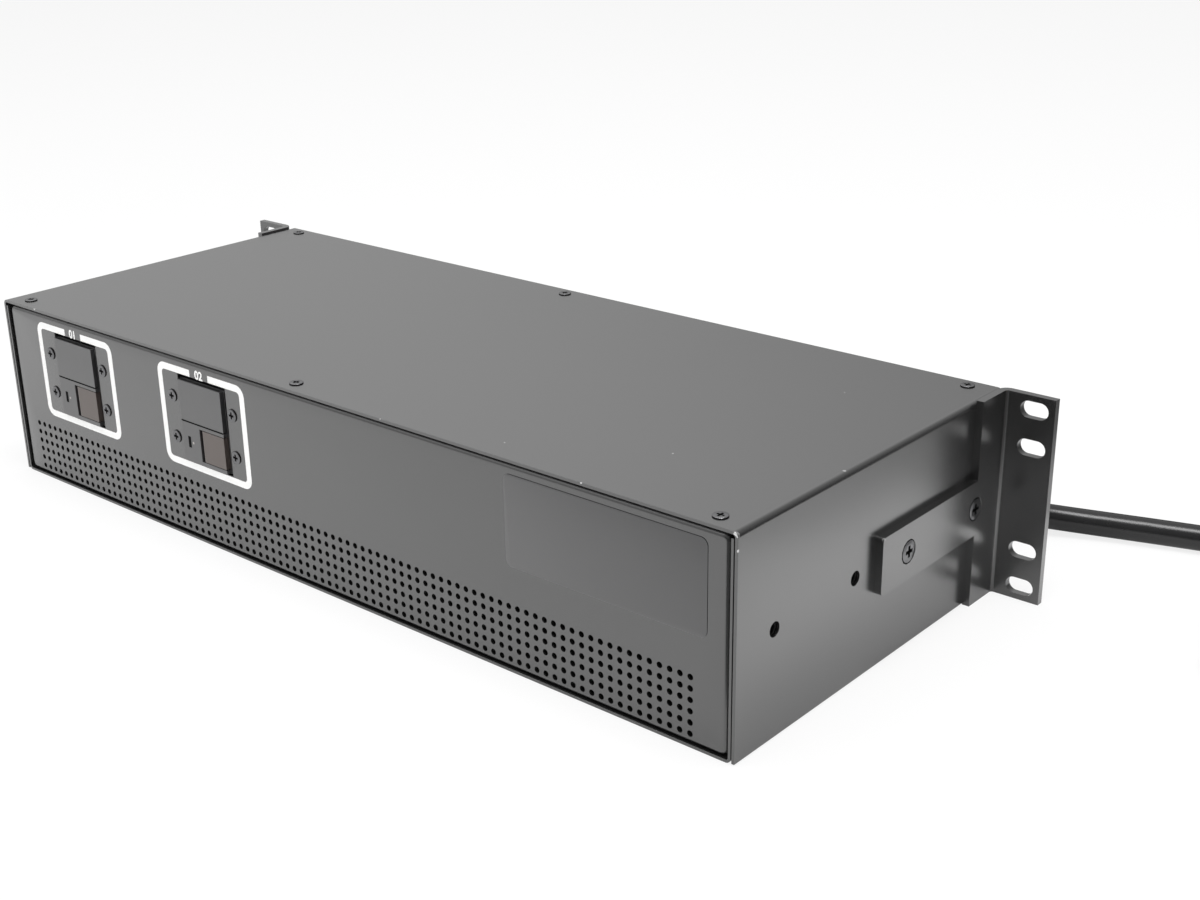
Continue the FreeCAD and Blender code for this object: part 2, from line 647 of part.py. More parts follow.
# Locking plug, lying on its side with its face towards -Y
plug = new_body("plug_body")
place(plug, "plugX", "plugRear", "plugRadius")
neck = new_sketch(plug, "XZ_Plane")
regular(neck, "0", "0", "plugCollar", 12)
feature = pad(neck, "plugNeck")
ease("Chamfer", feature, edges(feature, y=["0"]), "plugTaper")
grip = new_sketch(plug, "XZ_Plane", "plugNeck")
regular(grip, "0", "0", "plugGrip", 12)
pad(grip, "plugLong - plugRim")
rim = new_sketch(plug, "XZ_Plane", "plugNeck + plugLong - plugRim")
regular(rim, "0", "0", "plugRadius / %.6f" % math.cos(math.pi / 12), 12)
pad(rim, "plugRim")

for i in range(3):
    ring = doc.addObject("Part::Cylinder", "blade_outer_%d" % i)
    core = doc.addObject("Part::Cylinder", "blade_inner_%d" % i)
    for item, radius in ((ring, "bladeCircle"), (core, "bladeCircle - bladeThick")):
        item.setExpression("Radius", bound(radius))
        item.setExpression("Height", bound("bladeLong"))
        item.setExpression("Angle", bound("bladeArc"))
    blade = doc.addObject("Part::Cut", "blade_%d" % i)
    blade.Base = ring
    blade.Tool = core
    turn = Rotation(Vector(0, 1, 0), 120 * i) * Rotation(Vector(1, 0, 0), 90)
    blade.Placement.Rotation = turn
    place(blade, "plugX", "plugRear - plugNeck - plugLong", "plugRadius")
    finish(blade, "plug_blade_%d" % (i + 1))

doc.recompute()
for item in doc.Objects:
    if "Invalid" in item.State or "Error" in item.State:
        raise RuntimeError("failed: " + item.Label)
for item in parts:
    if item.Shape.isNull() or not item.Shape.isValid():
        raise RuntimeError("bad shape: " + item.Label)

os.makedirs("parts", exist_ok=True)
for item in parts:
    item.Shape.exportStep("parts/%s.step" % item.Label)
print(len(parts), "sub-parts written")
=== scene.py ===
import math
import bmesh
import bpy
from mathutils import Matrix, Quaternion, Vector


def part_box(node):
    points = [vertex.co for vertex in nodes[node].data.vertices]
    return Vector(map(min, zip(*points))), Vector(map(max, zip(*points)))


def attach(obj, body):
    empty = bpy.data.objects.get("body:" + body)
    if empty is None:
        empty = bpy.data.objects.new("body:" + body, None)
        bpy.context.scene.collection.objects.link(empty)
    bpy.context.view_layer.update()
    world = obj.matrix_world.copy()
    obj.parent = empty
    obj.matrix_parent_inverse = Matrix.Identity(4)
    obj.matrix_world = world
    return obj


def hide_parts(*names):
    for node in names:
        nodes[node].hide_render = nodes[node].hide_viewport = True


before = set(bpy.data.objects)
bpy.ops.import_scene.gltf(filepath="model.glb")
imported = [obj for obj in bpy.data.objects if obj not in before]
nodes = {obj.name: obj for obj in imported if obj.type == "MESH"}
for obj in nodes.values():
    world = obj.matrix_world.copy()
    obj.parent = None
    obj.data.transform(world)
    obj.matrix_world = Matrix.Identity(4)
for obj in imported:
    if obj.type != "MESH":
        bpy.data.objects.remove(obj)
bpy.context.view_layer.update()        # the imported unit, never moved or resized
mm = 0.001
quarter = math.pi / 2
facing = (quarter, 0, 0)  # turns a flat primitive to face -Y
touch = 1e-5             # metres within which two places are the same
weldGap = 1e-6
print("frame loaded:", len(nodes), "nodes")


def metres(*sizes):
    return Vector(sizes) * mm


# Shader maths
class Wire:  # one socket of a finish, so that masks are written as sums
    def __init__(self, finish, socket):
        self.finish = finish
        self.socket = socket

    def maths(self, operation, first, second):
        return self.finish.node("ShaderNodeMath", {"operation": operation}, [first, second])

    def __add__(self, other):
        return self.maths("ADD", self, other)

    def __radd__(self, other):
        return self.maths("ADD", other, self)

    def __sub__(self, other):
        return self.maths("SUBTRACT", self, other)

    def __rsub__(self, other):
        return self.maths("SUBTRACT", other, self)

    def __mul__(self, other):
        return self.maths("MULTIPLY", self, other)

    def __rmul__(self, other):
        return self.maths("MULTIPLY", other, self)


class Finish:  # a material or the world, with one method for every node
    def __init__(self, owner, fixed=None):
        self.owner = owner
        owner.use_nodes = True
        self.tree = owner.node_tree
        self.shader = self.tree.nodes.get("Principled BSDF")
        for socket, value in (fixed or {}).items():
            self.shader.inputs[socket].default_value = value

    def feed(self, socket, value):
        if isinstance(value, Wire):
            self.tree.links.new(value.socket, socket)
        else:
            socket.default_value = value

    def node(self, kind, settings, inputs, output=0):
        made = self.tree.nodes.new(kind)
        for key, value in settings.items():
            setattr(made, key, value)
        pairs = inputs.items() if isinstance(inputs, dict) else enumerate(inputs)
        for key, value in pairs:
            self.feed(made.inputs[key], value)
        return Wire(self, made.outputs[output])

    def set(self, socket, value):
        self.feed(self.shader.inputs[socket], value)

    def places(self):
        return self.node("ShaderNodeTexCoord", {}, {}, "Object")

    def noise(self, scale, detail=2.0, stretch=(1, 1, 1)):
        spot = self.node("ShaderNodeMapping", {}, {"Vector": self.places(), "Scale": stretch})
        return self.node("ShaderNodeTexNoise", {}, {"Vector": spot, "Scale": scale, "Detail": detail})

    def range(self, value, low, high, toLow=0.0, toHigh=1.0):
        smooth = {"interpolation_type": "SMOOTHSTEP"}
        return self.node("ShaderNodeMapRange", smooth, [value, low, high, toLow, toHigh])

    def blend(self, factor, first, second):  # two colours
        pair = {0: factor, 6: first, 7: second}
        return self.node("ShaderNodeMix", {"data_type": "RGBA"}, pair, 2)

    def bump(self, height, strength, distance):
        inputs = {"Strength": strength, "Distance": distance, "Height": height}
        self.set("Normal", self.node("ShaderNodeBump", {}, inputs))


def newFinish(name, fixed=None):
    return Finish(bpy.data.materials.new(name), fixed)


def grey(level):
    return (level, level, level, 1)


coatLook = {
    "black": 0.009, "dust": 0.014, "cloud": 14, "rough": 0.25, "roughSpread": 0.04, "grain": 1500,
    "strength": 0.25, "relief": 0.00005, "ragged": 900, "chipEdge": (0.9, 0.6), "bareSteel": 0.62,
    "fixed": {"IOR": 1.8, "Coat Weight": 1.0, "Coat Roughness": 0.25, "Coat IOR": 1.5}}
chips = [  # paint knocked off the cover and the right ear's arm: place and reach in mm
    ((216.6, -89.0, 86.6), 1.6), ((217.0, -88.8, 80.6), 0.7), ((-190.5, -89.0, 87.2), 0.8),
    ((150.0, -89.0, 87.2), 0.5), ((48.0, -89.0, 87.2), 0.4), ((-217, -88.6, 86.4), 0.9),
    ((214.9, -23.3, 87.0), 0.8), ((170.6, 46.1, 87.2), 0.4), ((102.8, -77.5, 87.2), 0.45),
    ((157.9, -47.6, 87.2), 0.45), ((220.0, -2.4, 54.8), 1.1)]


def powderCoat(name, chipped=()):
    finish = newFinish(name, coatLook["fixed"])
    grain = finish.noise(coatLook["grain"], 3)
    cloud = finish.noise(coatLook["cloud"], 3)
    colour = finish.blend(cloud, grey(coatLook["black"]), grey(coatLook["dust"]))
    rough = coatLook["rough"] + coatLook["roughSpread"] * (cloud - 0.5)
    if chipped:
        ragged = finish.noise(coatLook["ragged"], 3)
        outer, inner = coatLook["chipEdge"]
        places = finish.places()
        bare = 0.0
        for place, reach in chipped:
            away = finish.node("ShaderNodeVectorMath", {"operation": "DISTANCE"}, [places, metres(*place)], 1)
            size = reach * mm
            bare = finish.range(away + size * (ragged - 0.5), outer * size, inner * size) + bare
        colour = finish.blend(bare, colour, grey(coatLook["bareSteel"]))
        finish.set("Metallic", finish.range(bare, 0, 1))
        finish.set("Coat Weight", finish.range(bare, 0, 1, 1, 0))
    finish.set("Base Color", colour)
    finish.set("Roughness", rough)
    finish.bump(grain, coatLook["strength"], coatLook["relief"])
    return finish.owner


grainLook = {"roughSpread": 0.12, "waveScale": 70, "relief": 0.00005}


def plainFinish(name, look):  # one colour that drifts a little, with a moulded or drawn grain
    finish = newFinish(name, look.get("fixed"))
    drift = finish.noise(look["drift"], 3)
    dark = [c * (1 - look["spread"]) for c in look["colour"]] + [1]
    light = [min(1, c * (1 + look["spread"])) for c in look["colour"]] + [1]
    finish.set("Base Color", finish.blend(drift, dark, light))
    finish.set("Roughness", look["rough"] + grainLook["roughSpread"] * (drift - 0.5))
    grain = finish.noise(look["grain"], 2, look.get("stretch", (1, 1, 1)))
    if "waves" in look:  # slow dents under the grain
        grain = grain + look["waves"] * finish.noise(grainLook["waveScale"], 1)
    finish.bump(grain, look["strength"], grainLook["relief"])
    return finish.owner


looks = {
    "blackSteel": {
        "colour": (0.16, 0.16, 0.165), "spread": 0.3, "drift": 300, "rough": 0.24, "grain": 2500,
        "strength": 0.15, "fixed": {"Metallic": 0.9, "IOR": 1.8}},
    "breakerPlastic": {
        "colour": (0.02, 0.02, 0.021), "spread": 0.2, "drift": 60, "rough": 0.42, "grain": 3000,
        "strength": 0.2, "fixed": {"IOR": 1.9, "Coat Weight": 0.8, "Coat Roughness": 0.4}},
    "rockerPlastic": {
        "colour": (0.045, 0.036, 0.032), "spread": 0.2, "drift": 80, "rough": 0.34, "grain": 3000,
        "strength": 0.15, "fixed": {"IOR": 2.0, "Specular Tint": (1, 0.9, 0.85, 1)}},
    "outletPlastic": {
        "colour": (0.018, 0.018, 0.019), "spread": 0.2, "drift": 60, "rough": 0.45, "grain": 2500,
        "strength": 0.25},
    "boardLaminate": {
        "colour": (0.02, 0.09, 0.04), "spread": 0.15, "drift": 50, "rough": 0.4, "grain": 1200,
        "strength": 0.1},
    "bushingNylon": {
        "colour": (0.02, 0.02, 0.021), "spread": 0.2, "drift": 90, "rough": 0.5, "grain": 2000,
        "strength": 0.2},
    "plugRubber": {
        "colour": (0.024, 0.024, 0.025), "spread": 0.25, "drift": 40, "rough": 0.52, "grain": 1800,
        "strength": 0.3},
    "bladeBrass": {
        "colour": (0.62, 0.47, 0.2), "spread": 0.12, "drift": 120, "rough": 0.26, "grain": 600,
        "strength": 0.12, "stretch": (1, 0.05, 1), "fixed": {"Metallic": 1.0}},
    "blockPlastic": {
        "colour": (0.05, 0.05, 0.052), "spread": 0.2, "drift": 60, "rough": 0.5, "grain": 2000,
        "strength": 0.2},
    "bareSteel": {
        "colour": (0.55, 0.55, 0.54), "spread": 0.12, "drift": 90, "rough": 0.34, "grain": 700,
        "strength": 0.1, "fixed": {"Metallic": 1.0}},
    "wireInsulation": {
        "colour": (0.05, 0.05, 0.055), "spread": 0.3, "drift": 80, "rough": 0.4, "grain": 900,
        "strength": 0.1},
    "strapWeave": {
        "colour": (0.022, 0.022, 0.024), "spread": 0.4, "drift": 900, "rough": 0.85, "grain": 1400,
        "strength": 0.7},
    # painted shade: a near-black finish laid where shadow falls, in screw recesses and the gaps round screw
    # heads, on the pole seam, over the mark slot and along the film's edge
    "recessShade": {
        "colour": (0.004, 0.004, 0.004), "spread": 0.2, "drift": 400, "rough": 0.8, "grain": 2500,
        "strength": 0.2, "fixed": {"IOR": 1.2}},
    "whitePrint": {
        "colour": (0.94, 0.94, 0.93), "spread": 0.03, "drift": 200, "rough": 0.5, "grain": 1500,
        "strength": 0.1},
    "fadedPrint": {
        "colour": (0.46, 0.43, 0.41), "spread": 0.1, "drift": 300, "rough": 0.6, "grain": 1500,
        "strength": 0.1},
    "cordJacket": {
        "colour": (0.012, 0.012, 0.0125), "spread": 0.25, "drift": 35, "rough": 0.26, "grain": 1200,
        "strength": 0.22, "waves": 25, "fixed": {"IOR": 1.46}},
    "labelFilm": {
        "colour": (0.017, 0.017, 0.018), "spread": 0.15, "drift": 25, "rough": 0.4, "grain": 2200,
        "strength": 0.12, "fixed": {"IOR": 1.8, "Coat Weight": 1.0, "Coat Roughness": 0.4}},
}
finishes = {name: plainFinish(name, look) for name, look in looks.items()}
finishes["powderCoat"] = powderCoat("powderCoat")
finishes["chippedCoat"] = powderCoat("chippedCoat", chips)
print("finishes made:", len(finishes))


# Camera, light and stage
photoView = {"eye": (501.8, -487.2, 308.44), "target": (75.4, 7.99, 51.15), "roll": -0.839, "lens": 49.95}
camera = bpy.data.objects.new("camera", bpy.data.cameras.new("camera"))
bpy.context.scene.collection.objects.link(camera)
camera.location = metres(*photoView["eye"])
ahead = metres(*photoView["target"]) - camera.location
roll = Quaternion((0, 0, 1), math.radians(photoView["roll"]))
camera.rotation_mode = "QUATERNION"
camera.rotation_quaternion = ahead.to_track_quat("-Z", "Y") @ roll
camera.data.sensor_width = 36
camera.data.lens = photoView["lens"]
camera.data.clip_start = 0.01
bpy.context.scene.camera = camera

# floorFront, floorShadowBeside, floorRight, floorCorner and floorBack set how bright the paint mirrors the
# floor in each zone: a painted reflection, with painted shadow beside the case, at the corner and towards the
# back
studio = {
    "ambient": 0.62, "shadowShare": 0.2, "mirrorShade": 0.65, "floorSize": 12, "paperWhite": 0.9,
    "horizon": 0.54, "zenith": 1.04, "rise": (0.2, 0.56), "farWall": 0.77, "wallRise": (0.34, 0.44),
    "floorFront": 0.8, "floorShadowBeside": 0.4, "floorRight": 1.65, "floorBack": 0.15,
    "floorCorner": 0.12, "cornerSlope": 1.47}
floorZones = {  # where the floor's level in the paint's shine changes, from and to in metres
    "front": (0.212, 0.219), "beside": (0.219, 0.278), "corner": (-0.475, -0.445),
    "cornerStart": (0.215, 0.24), "back": (0.12, 0.3)}
dimEnds = [  # parts of the room that reflect darker: the way there, where it starts and ends, the level
    ((0.75, 0.55, -0.36), -0.35, 0.5, 0.4), ((0.41, -0.83, 0.38), 0.55, 0.85, 0.3)]
lamps = {  # place and aim in metres, size in metres, power in watts, and whether the paint mirrors it
    "overhead": ((-0.35, -0.35, 1.7), (0, 0, 0), 1.6, 11, True),
    "side": ((0.42, -0.05, 1.6), (0.32, 0.16, 0), 0.6, 12, True),
    "front": ((0.5, -1.2, 0.8), (0, -0.09, 0.05), 0.8, 4, False),
}
for lampName, (spot, aim, wide, power, shines) in lamps.items():
    lamp = bpy.data.lights.new(lampName, "AREA")
    lamp.size = wide
    lamp.energy = power
    holder = bpy.data.objects.new(lampName, lamp)
    bpy.context.scene.collection.objects.link(holder)
    holder.location = spot
    holder.visible_glossy = shines
    holder.rotation_euler = (Vector(aim) - Vector(spot)).to_track_quat("-Z", "Y").to_euler()


def rayKinds(finish):  # 1 for a camera ray, and 1 for a glossy or transmission ray
    rays = finish.tree.nodes.new("ShaderNodeLightPath")
    seen, glossy, clear = [
        Wire(finish, rays.outputs["Is %s Ray" % kind]) for kind in ("Camera", "Glossy", "Transmission")]
    return seen, glossy.maths("MAXIMUM", glossy, clear)


world = bpy.data.worlds.new("studio")
bpy.context.scene.world = world
sky = Finish(world)
skyShader = sky.tree.nodes["Background"]
skyShader.inputs["Color"].default_value = grey(1)
towards = sky.node("ShaderNodeTexCoord", {}, {}, "Generated")
back, up = [sky.node("ShaderNodeSeparateXYZ", {}, [towards], axis) for axis in (1, 2)]
mirrored = sky.range(up, *studio["rise"], studio["horizon"], studio["zenith"])
wallRise = up.maths("DIVIDE", up, up.maths("MAXIMUM", back, 0.01))
mirrored = mirrored * sky.range(wallRise, *studio["wallRise"], studio["farWall"], 1)
for way, first, last, dim in dimEnds:
    along = sky.node("ShaderNodeVectorMath", {"operation": "DOT_PRODUCT"}, [towards, Vector(way)], 1)
    mirrored = mirrored * sky.range(along, first, last, 1, dim)
direct, reflected = rayKinds(sky)
level = studio["ambient"] + (1 - studio["ambient"]) * direct + (mirrored - studio["ambient"]) * reflected
sky.feed(skyShader.inputs["Strength"], level)

bpy.ops.object.select_all(action="DESELECT")
bpy.ops.mesh.primitive_plane_add(size=studio["floorSize"])
floor = bpy.context.object
floor.name = "floor"
paper = newFinish("paper", {"Roughness": 0.9})
direct, reflected = rayKinds(paper)
across, along = [paper.node("ShaderNodeSeparateXYZ", {}, [paper.places()], axis) for axis in (0, 1)]
# painted reflection and painted shadow: for glossy rays the floor glows by zone, and its glow and colour are
# darker beside the case, at the corner and towards the back
sheen = paper.range(across, *floorZones["beside"], studio["floorShadowBeside"], studio["floorRight"])
sheen = sheen + paper.range(across, *floorZones["front"], studio["floorFront"] - studio["floorShadowBeside"], 0)
slant = along - studio["cornerSlope"] * across
paintedFloorShade = paper.range(slant, *floorZones["corner"], studio["floorCorner"], 1)
paintedFloorShade = paintedFloorShade.maths("MAXIMUM", paintedFloorShade, paper.range(across, *floorZones["cornerStart"], 1, 0))
paintedFloorShade = paintedFloorShade * paper.range(along, *floorZones["back"], 1, studio["floorBack"])
shine = 1 + (sheen * paintedFloorShade - 1) * reflected
glow = paper.node("ShaderNodeEmission", {}, {"Color": shine, "Strength": 1.0})
paper.set("Base Color", studio["paperWhite"] * (1 + (paintedFloorShade - 1) * reflected))
glowShare = (1 - studio["shadowShare"]) * direct + (1 - studio["mirrorShade"]) * reflected
lit = Wire(paper, paper.shader.outputs[0])
mixed = paper.node("ShaderNodeMixShader", {}, [glowShare, lit, glow])
paper.feed(paper.tree.nodes["Material Output"].inputs["Surface"], mixed)
floor.data.materials.append(paper.owner)
bpy.context.scene.view_settings.view_transform = "Standard"
print("camera, lamps and floor placed")


# Hand tools
def objectMode():
    if bpy.context.mode != "OBJECT":
        bpy.ops.object.mode_set(mode="OBJECT")
    bpy.ops.object.select_all(action="DESELECT")


def choose(piece):
    objectMode()
    piece.select_set(True)
    bpy.context.view_layer.objects.active = piece


def edit(piece):
    choose(piece)
    bpy.ops.object.mode_set(mode="EDIT")
    bpy.ops.mesh.select_all(action="DESELECT")


def middle(part):
    if isinstance(part, bmesh.types.BMVert):
        return part.co
    return sum((v.co for v in part.verts), Vector()) / len(part.verts)


def pick(kind, test):  # selects what passes the test in the piece that is being edited
    bpy.ops.mesh.select_mode(type=kind)
    bpy.ops.mesh.select_all(action="DESELECT")
    shape = bmesh.from_edit_mesh(bpy.context.object.data)
    parts = {"VERT": shape.verts, "EDGE": shape.edges, "FACE": shape.faces}[kind]
    for part in parts:
        if test(part):
            part.select_set(True)
    bmesh.update_edit_mesh(bpy.context.object.data)


def start(name, add, **settings):  # a primitive at its size and place, with both in its mesh
    objectMode()
    add(**settings)
    piece = bpy.context.object
    piece.name = name
    bpy.ops.object.transform_apply(location=True, rotation=True, scale=True)
    return piece


def startBlock(name, low, high):
    low, high = Vector(low), Vector(high)
    return start(
        name, bpy.ops.mesh.primitive_cube_add, size=1, location=(low + high) / 2, scale=high - low)


def startPlate(name, spot, wide, high):  # a flat plate that faces -Y
    objectMode()
    bpy.ops.mesh.primitive_plane_add(size=1, location=spot, rotation=facing)
    plate = bpy.context.object
    plate.name = name
    plate.scale = (wide, high, 1)
    bpy.ops.object.transform_apply(location=True, rotation=True, scale=True)
    return plate


def modify(piece, kind, **settings):  # adds a modifier and applies it
    choose(piece)
    modifier = piece.modifiers.new(kind.lower(), kind)
    for key, value in settings.items():
        setattr(modifier, key, value)
    bpy.ops.object.modifier_apply(modifier=modifier.name)


def soften(piece, width, segments=2, angle=35):
    modify(
        piece, "BEVEL", width=width * mm, segments=segments, limit_method="ANGLE",
        angle_limit=math.radians(angle))


def outwards(piece):
    edit(piece)
    bpy.ops.mesh.select_all(action="SELECT")
    bpy.ops.mesh.remove_doubles(threshold=weldGap)
    bpy.ops.mesh.normals_make_consistent(inside=False)
    objectMode()


def done(piece, finish, body="chassis", smooth=35):
    choose(piece)
    bpy.ops.object.transform_apply(location=True, rotation=True, scale=True)
    bpy.ops.object.shade_smooth_by_angle(angle=math.radians(smooth))
    if not piece.data.materials:
        piece.data.materials.append(finishes[finish])
    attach(piece, body)
    return piece


def twin(piece, name, place):  # a copy with its own mesh, put where the matrix says
    choose(piece)
    bpy.ops.object.duplicate(linked=False)
    copy = bpy.context.object
    copy.name = name
    copy.matrix_world = place
    bpy.ops.object.transform_apply(location=True, rotation=True, scale=True)
    return copy


def carve(piece, cutter):
    modify(piece, "BOOLEAN", operation="DIFFERENCE", object=cutter, solver="EXACT")
    bpy.data.objects.remove(cutter)


def turned(name, rings, sides):  # rings of (along, radius) in mm, turned about Y through the origin
    along, radius = rings[0]
    piece = start(
        name, bpy.ops.mesh.primitive_circle_add, vertices=sides, radius=radius * mm, fill_type="NGON",
        location=metres(0, along, 0), rotation=(quarter, 0, 0))
    edit(piece)
    bpy.ops.mesh.select_all(action="SELECT")
    for nextAlong, nextRadius in rings[1:]:
        move = {"value": metres(0, nextAlong - along, 0)}
        bpy.ops.mesh.extrude_region_move(TRANSFORM_OT_translate=move)
        grow = nextRadius / radius
        bpy.ops.transform.resize(value=(grow, 1, grow), center_override=metres(0, nextAlong, 0))
        along, radius = nextAlong, nextRadius
    outwards(piece)
    return piece


# Supply cord: the route that lies behind the unit, then the coil, then the plug's tail
cordShape = {
    "radius": 5.65, "length": 2.5, "coilX": 385.4, "coilY": 122.2, "turns": (77.8, 66.5, 55.2),
    "lowLayer": 6.9, "layerRise": 11.4, "entry": 96, "step": 0.12, "perTurn": 24}
routeOut = [
    (185, 96.4, 16.5), (185, 118.7, 16.5), (194.6, 140.7, 11.5), (212.1, 157.1, 6.6), (272.5, 178.4, 5.8),
    (325.9, 191.7, 6.3)]
routeEnd = [(463.5, 98.2, 18.7), (464.4, 73, 25), (464.4, 50, 25)]


def eased(turn, begin):  # 0 up to begin, 1 after one step, smooth between
    share = min(1, max(0, (turn - begin) / cordShape["step"]))
    return share * share * (3 - 2 * share)


def coilPoint(turn):  # three turns in along the floor, up at the middle, and three out on top of them
    wide, mean, tight = cordShape["turns"]
    step = cordShape["step"]
    inwards = eased(turn, 1 - step) * (mean - wide) + eased(turn, 2 - step) * (tight - mean)
    outwardsAgain = eased(turn, 4 - 3 * step) * (mean - tight) + eased(turn, 5 - 3 * step) * (wide - mean)
    radius = (wide + inwards + outwardsAgain) / math.cos(math.pi / cordShape["perTurn"]) ** 0.75
    angle = math.radians(cordShape["entry"] - 360 * turn)
    up = cordShape["lowLayer"] + cordShape["layerRise"] * eased(turn, 3 - 2 * step)
    return (
        cordShape["coilX"] + radius * math.cos(angle), cordShape["coilY"] + radius * math.sin(angle), up)


coilTurns = 5 + cordShape["entry"] / 360
coilSteps = round(coilTurns * cordShape["perTurn"])
coilRoute = [coilPoint(coilTurns * i / coilSteps) for i in range(coilSteps + 1)]
cordRoute = [metres(*spot) for spot in routeOut + coilRoute + routeEnd]
cordCurve = bpy.data.curves.new("supply_cord", "CURVE")
cordCurve.dimensions = "3D"
cordCurve.bevel_depth = cordShape["radius"] * mm
cordCurve.bevel_resolution = 6
cordCurve.resolution_u = 6
cordCurve.use_fill_caps = True
line = cordCurve.splines.new("NURBS")
line.points.add(len(cordRoute) - 1)
for knot, spot in zip(line.points, cordRoute):
    knot.co = (*spot, 1)
line.order_u = 3
line.use_endpoint_u = True
supplyCord = bpy.data.objects.new("supply_cord", cordCurve)
bpy.context.scene.collection.objects.link(supplyCord)
cordCurve.materials.append(finishes["cordJacket"])
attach(supplyCord, "chassis")
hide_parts("cord", "cord_coil", "cord_end")
print("cord laid:", len(cordRoute), "points")


# Breaker panel: a pan with a field of round vents and two breaker openings
panelShape = {
    "sheet": 1.2, "corner": 3, "edge": 2, "columns": 90, "rows": 6, "ventMiddle": -2, "ventSpan": 399.2,
    "lowRow": 5.2, "highRow": 27.5, "holeRadius": 1.25, "holeSides": 16, "lowMargin": 3.6, "ventMargin": 0.3,
    "openingWide": 32.9, "openingHigh": 40.2, "openingShift": 0.9, "openingRise": 0.8,
    "slit": 0.8, "lowSlit": 0.3}
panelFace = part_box("front_panel")[0].y
breakerSpots = []
for number in (1, 2):
    low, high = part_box("breaker_%d_blank_pole" % number)
    breakerSpots.append(Vector(((low.x + high.x) / 2, panelFace, low.z)))


def ventField():  # one cell with a round hole, repeated along and up
    across = panelShape["ventSpan"] / (panelShape["columns"] - 1) * mm
    up = (panelShape["highRow"] - panelShape["lowRow"]) / (panelShape["rows"] - 1) * mm
    corner = metres(panelShape["ventMiddle"] - panelShape["ventSpan"] / 2, 0, panelShape["lowRow"])
    corner.y = panelFace
    cell = startPlate("vent_field", corner, across, up)
    edit(cell)
    bpy.ops.mesh.select_all(action="SELECT")
    bpy.ops.mesh.delete(type="ONLY_FACE")
    bpy.ops.mesh.primitive_circle_add(
        vertices=panelShape["holeSides"], radius=panelShape["holeRadius"] * mm, location=corner,
        rotation=facing, fill_type="NOTHING")
    bpy.ops.mesh.select_all(action="SELECT")
    bpy.ops.mesh.fill()
    for count, step in ((panelShape["columns"], (across, 0, 0)), (panelShape["rows"], (0, 0, up))):
        modify(
            cell, "ARRAY", count=count, use_relative_offset=False, use_constant_offset=True,
            constant_offset_displace=step, use_merge_vertices=True, merge_threshold=touch)
    edit(cell)
    lowest = corner.z - up / 2
    pick("VERT", lambda v: v.co.z < lowest + touch)
    bpy.ops.transform.translate(value=(0, 0, panelShape["lowMargin"] * mm - lowest))
    objectMode()
    return cell


def onFace(part):
    return all(v.co.y < panelFace + touch for v in part.verts)


def makePanel():
    low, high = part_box("front_panel")
    slit = panelShape["slit"]
    low, high = low + metres(slit, 0, panelShape["lowSlit"]), high - metres(slit, 0, slit)
    pan = startBlock("breaker_panel", low, high)
    edit(pan)
    pick("FACE", lambda f: f.normal.y > 0.9)
    bpy.ops.mesh.delete(type="FACE")
    pick("EDGE", lambda e: abs(e.verts[0].co.y - e.verts[1].co.y) > mm)
    bpy.ops.mesh.bevel(offset=panelShape["corner"] * mm, segments=4, affect="EDGES")
    pick("EDGE", onFace)
    bpy.ops.mesh.bevel(offset=panelShape["edge"] * mm, segments=5, affect="EDGES")
    pick("FACE", onFace)
    bpy.ops.mesh.delete(type="FACE")
    field = ventField()
    low, high = Vector(field.bound_box[0]), Vector(field.bound_box[6])
    choose(pan)
    field.select_set(True)
    bpy.ops.object.join()
    edit(pan)
    tall = panelShape["openingHigh"] / panelShape["openingWide"]
    for breaker in breakerSpots:
        spot = breaker + metres(panelShape["openingShift"], 0, panelShape["openingRise"])
        bpy.ops.mesh.primitive_plane_add(size=panelShape["openingWide"] * mm, location=spot, rotation=facing)
        bpy.ops.transform.resize(value=(1, 1, tall), center_override=spot)
        bpy.ops.mesh.delete(type="ONLY_FACE")
    margin = panelShape["ventMargin"] * mm  # every vent keeps further inside the field than this

    def openEdge(edge):
        spot = middle(edge)
        inField = all(low[i] + margin < spot[i] < high[i] - margin for i in (0, 2))
        return len(edge.link_faces) < 2 and onFace(edge) and not inField

    pick("EDGE", openEdge)
    bpy.ops.mesh.fill()
    outwards(pan)
    modify(pan, "SOLIDIFY", thickness=panelShape["sheet"] * mm, offset=-1, use_even_offset=True)
    done(pan, "powderCoat")
    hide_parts("front_panel")
    return pan


breakerPanel = makePanel()
print("breaker panel:", len(breakerPanel.data.polygons), "faces")

# Screws with a cross recess, modelled once with the head up along Y
cross = {"arm": 0.7, "half": 0.22, "reach": 0.8, "rim": 0.95}  # shares of the head's radius
screwShapes = {  # rings of (along, radius past the head's radius) in mm
    "small": {"head": 2.9, "deep": 0.5, "rings": [(-0.5, 0), (0.42, 0), (0.52, -0.12), (0.57, -0.45)]},
    "large": {"head": 4.4, "deep": 1.1, "rings": [(-1.4, -1), (0.03, 0.25), (0.03, 0), (0.2, -0.35)]}}


